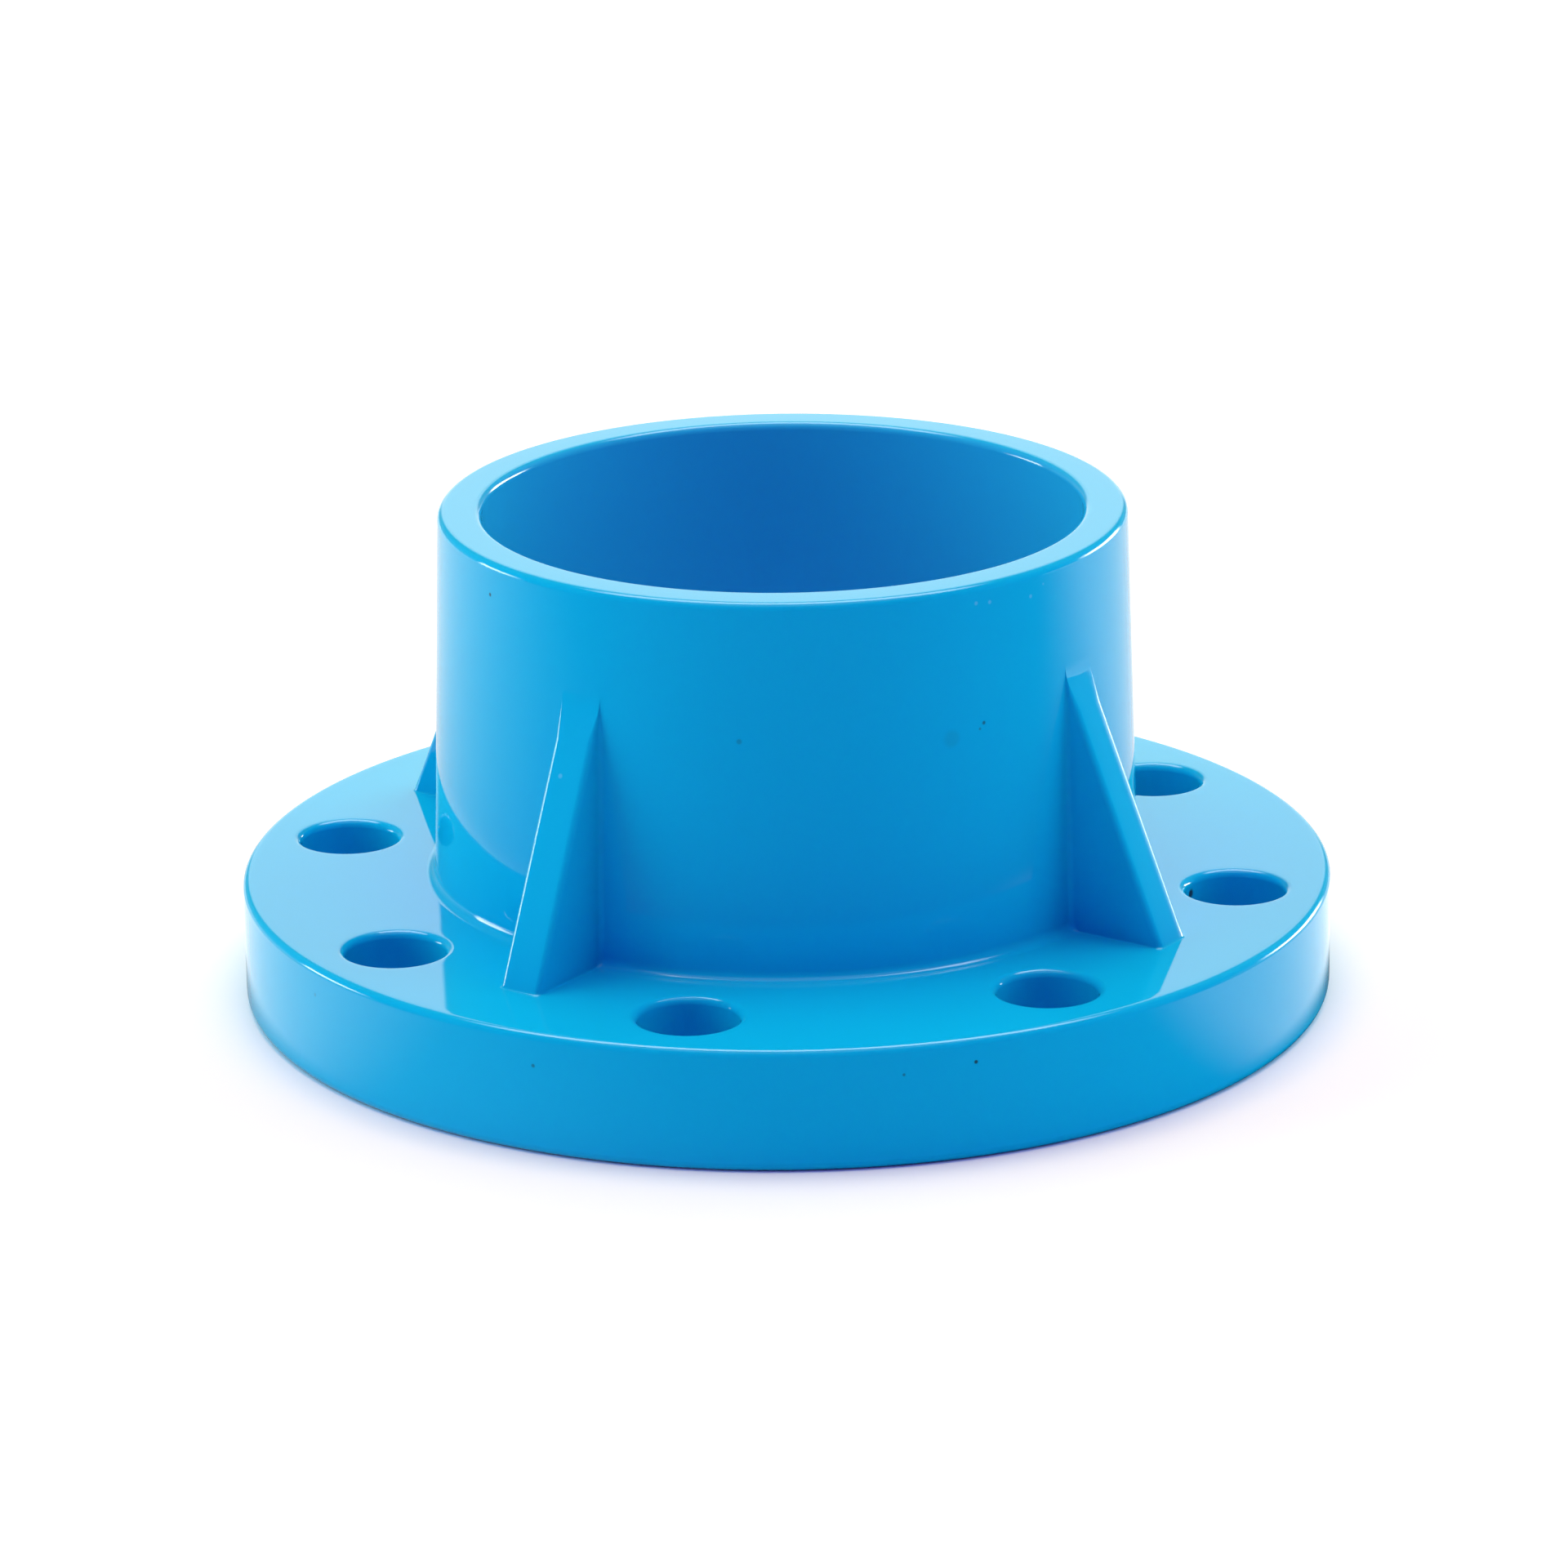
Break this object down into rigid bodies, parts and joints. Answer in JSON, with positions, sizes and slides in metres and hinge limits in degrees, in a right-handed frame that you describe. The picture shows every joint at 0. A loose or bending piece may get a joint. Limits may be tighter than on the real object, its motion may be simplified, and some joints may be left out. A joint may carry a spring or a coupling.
{
  "type": "flange adaptor",
  "caption": "Moulded plastic flange adaptor: a drilled round flange with a ribbed hub, whose tapered socket takes a glued pipe end.",
  "frame": {"origin": "centre of the mating face, on the bore's axis", "axes": "+Z along the bore, from the mating face to the socket's mouth; the ribs lie on X and Y"},
  "size_m": [0.21, 0.21, 0.0955],
  "materials": {
    "blue_plastic": "glossy as moulded"
  },
  "bodies": {
    "root": {"flange_adaptor": "blue_plastic"}
  },
  "joints": []
}
